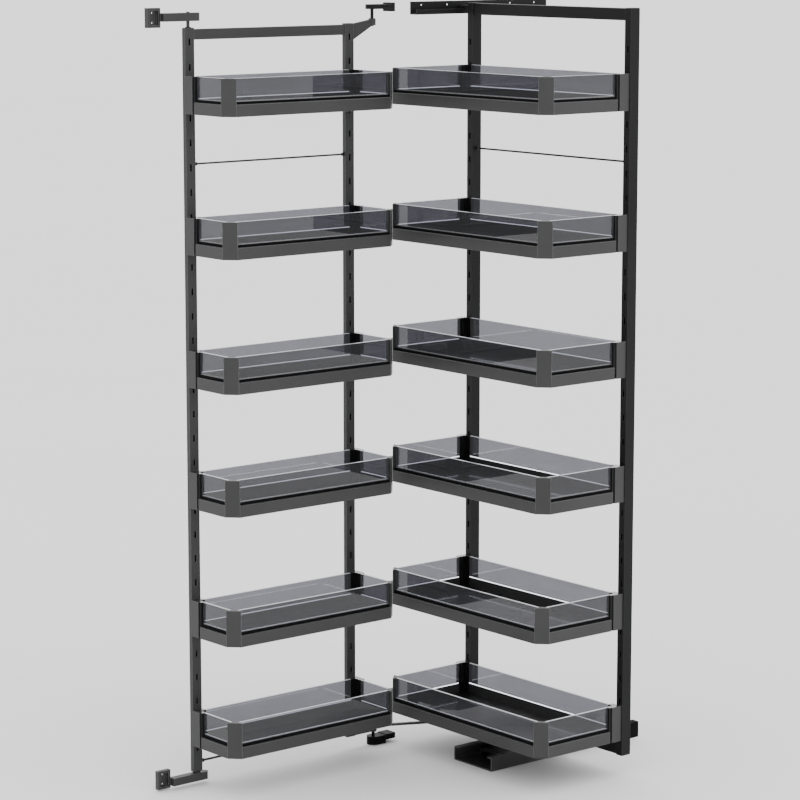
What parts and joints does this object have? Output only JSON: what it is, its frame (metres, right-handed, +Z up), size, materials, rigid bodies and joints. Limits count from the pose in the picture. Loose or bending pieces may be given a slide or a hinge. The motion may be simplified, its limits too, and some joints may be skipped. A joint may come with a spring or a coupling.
{
  "type": "swing-out larder fitting",
  "caption": "linked pull-out larder fitting for a tall kitchen cabinet: a slotted frame that swings with the door and a sliding frame behind it, each hung with glass-sided baskets",
  "frame": {"origin": "on the swing axis of the door frame, at the underside of the pivot foot", "axes": "+X across the cabinet opening, away from the door's hinge side, +Y into the cabinet, +Z up"},
  "size_m": [0.5402, 1.068, 1.5975],
  "materials": {
    "graphite_aluminium": "matt graphite powder coat",
    "graphite_metal": "matt graphite powder coat",
    "smoked_glass": "clear grey glass with polished edges",
    "black_plastic": "matt black",
    "rubber_black": "matt black",
    "zinc_steel": "dark zinc plated"
  },
  "bodies": {
    "cabinet_side": {"floor_rail": "graphite_metal", "top_guide_rail": "graphite_metal", "pivot_foot": "black_plastic", "pivot_top_plate": "graphite_metal"},
    "door_frame": {"door_basket_1_frame": "graphite_aluminium", "door_basket_1_glass": "smoked_glass", "door_basket_1_base": "black_plastic", "door_basket_2_frame": "graphite_aluminium", "door_basket_2_glass": "smoked_glass", "door_basket_2_base": "black_plastic", "door_basket_3_frame": "graphite_aluminium", "door_basket_3_glass": "smoked_glass", "door_basket_3_base": "black_plastic", "door_basket_4_frame": "graphite_aluminium", "door_basket_4_glass": "smoked_glass", "door_basket_4_base": "black_plastic", "door_basket_5_frame": "graphite_aluminium", "door_basket_5_glass": "smoked_glass", "door_basket_5_base": "black_plastic", "door_basket_6_frame": "graphite_aluminium", "door_basket_6_glass": "smoked_glass", "door_basket_6_base": "black_plastic", "door_post_outer": "graphite_metal", "door_post_inner": "graphite_metal", "door_top_bar": "graphite_metal", "door_tie_rod": "graphite_metal", "door_bottom_bar": "graphite_metal", "door_pivot_arms": "graphite_metal"},
    "inner_frame": {"inner_basket_1_frame": "graphite_aluminium", "inner_basket_1_glass": "smoked_glass", "inner_basket_1_base": "black_plastic", "inner_basket_2_frame": "graphite_aluminium", "inner_basket_2_glass": "smoked_glass", "inner_basket_2_base": "black_plastic", "inner_basket_3_frame": "graphite_aluminium", "inner_basket_3_glass": "smoked_glass", "inner_basket_3_base": "black_plastic", "inner_basket_4_frame": "graphite_aluminium", "inner_basket_4_glass": "smoked_glass", "inner_basket_4_base": "black_plastic", "inner_basket_5_frame": "graphite_aluminium", "inner_basket_5_glass": "smoked_glass", "inner_basket_5_base": "black_plastic", "inner_basket_6_frame": "graphite_aluminium", "inner_basket_6_glass": "smoked_glass", "inner_basket_6_base": "black_plastic", "inner_post_hinge_side": "graphite_metal", "inner_post_far_side": "graphite_metal", "inner_top_bar": "graphite_metal", "inner_bottom_bar": "graphite_metal", "inner_tie_rod": "graphite_metal", "rear_buffer": "rubber_black", "carriage": "graphite_metal", "roller_bracket": "graphite_metal"},
    "link_arm": {"link_arm": "zinc_steel"},
    "door_bracket_top": {"door_bracket_top": "graphite_metal"},
    "door_bracket_bottom": {"door_bracket_bottom": "graphite_metal"},
    "top_roller": {"top_roller": "black_plastic"},
    "wheelset_front": {"wheelset_front": "black_plastic"},
    "wheelset_rear": {"wheelset_rear": "black_plastic"}
  },
  "joints": [
    {"name": "door_swing", "type": "hinge", "parent": "cabinet_side", "child": "door_frame", "pos_m": [0, 0, 0.03], "axis": [0, 0, 1], "range_deg": [0, 90]},
    {"name": "frame_slide", "type": "slide", "parent": "cabinet_side", "child": "inner_frame", "axis": [0, 1, 0], "range_m": [0, 0.1674]},
    {"name": "link_turn", "type": "hinge", "parent": "door_frame", "child": "link_arm", "pos_m": [0.005, -0.126, 0.0555], "axis": [0, 0, 1], "range_deg": [-70.54, 0]},
    {"name": "top_bracket_turn", "type": "hinge", "parent": "door_frame", "child": "door_bracket_top", "pos_m": [0, -0.4706, 1.578], "axis": [0, 0, 1], "range_deg": [-10, 10]},
    {"name": "bottom_bracket_turn", "type": "hinge", "parent": "door_frame", "child": "door_bracket_bottom", "pos_m": [0, -0.4706, 0.016], "axis": [0, 0, 1], "range_deg": [-10, 10]},
    {"name": "roller_spin", "type": "hinge", "parent": "inner_frame", "child": "top_roller", "pos_m": [-0.003, 0.25395, 1.578], "axis": [0, 0, 1], "range_deg": [0, 1101.4]},
    {"name": "front_wheel_spin", "type": "hinge", "parent": "inner_frame", "child": "wheelset_front", "pos_m": [0.265, 0.13, 0.0113], "axis": [1, 0, 0], "range_deg": [-1127.3, 0]},
    {"name": "rear_wheel_spin", "type": "hinge", "parent": "inner_frame", "child": "wheelset_rear", "pos_m": [0.265, 0.27, 0.0113], "axis": [1, 0, 0], "range_deg": [-1127.3, 0]}
  ],
  "couplings": [
    {"joint": "frame_slide", "follows": "door_swing", "m_per_rad": 0.10644},
    {"joint": "link_turn", "follows": "door_swing", "ratio": -0.78156},
    {"joint": "roller_spin", "follows": "door_swing", "ratio": 12.235},
    {"joint": "front_wheel_spin", "follows": "door_swing", "ratio": -12.523},
    {"joint": "rear_wheel_spin", "follows": "door_swing", "ratio": -12.523}
  ]
}
